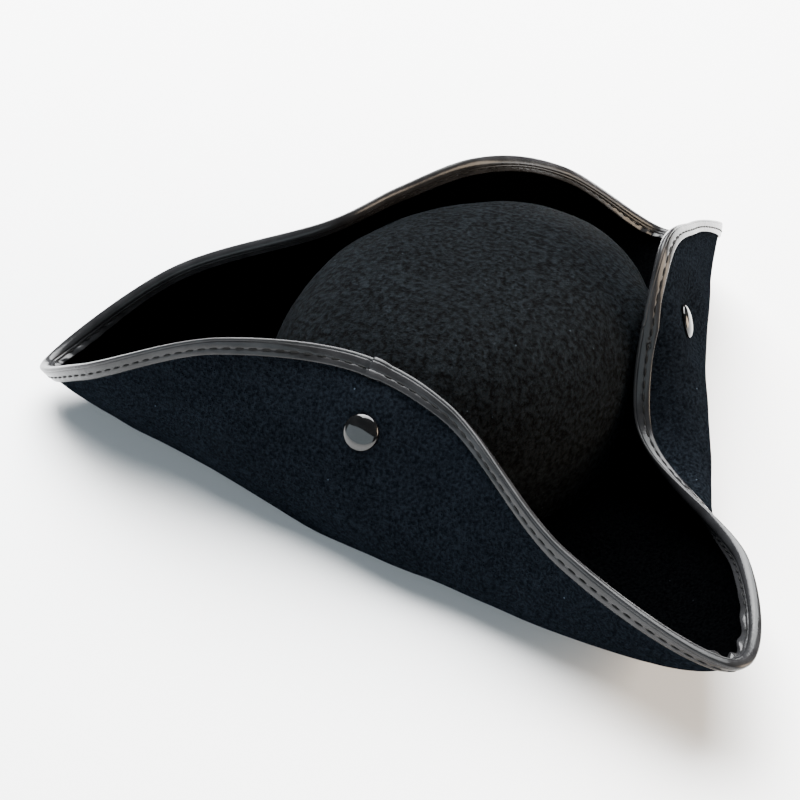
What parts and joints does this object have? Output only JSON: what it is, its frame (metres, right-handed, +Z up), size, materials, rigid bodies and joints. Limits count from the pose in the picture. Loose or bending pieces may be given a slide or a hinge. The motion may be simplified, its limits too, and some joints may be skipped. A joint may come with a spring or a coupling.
{
  "type": "tricorn hat",
  "caption": "Soft black felt hat with a round crown and a taped brim turned up on three sides, each flap pressed to the crown by a stud.",
  "frame": {"origin": "centre of the bounding box on the surface that the hat rests on", "axes": "+Z up, -Y towards the wearer's front where the front tip points, +X towards the wearer's left"},
  "size_m": [0.348, 0.3112, 0.1],
  "materials": {
    "crown_felt": "pebbly moulded black felt, matt with a soft nap",
    "brim_felt": "finer, flatter black felt, matt",
    "binding": "folded leather-like tape, semi-gloss, one row of stitches",
    "snap_cap": "domed press-stud cap, gloss black enamel",
    "snap_post": "plain hidden stud, black enamel"
  },
  "bodies": {
    "root": {"crown": "crown_felt", "brim": "brim_felt", "edge_binding": "binding", "snap_cap_left": "snap_cap", "snap_cap_back": "snap_cap", "snap_cap_right": "snap_cap", "snap_post_left": "snap_post", "snap_post_back": "snap_post", "snap_post_right": "snap_post"}
  },
  "joints": []
}
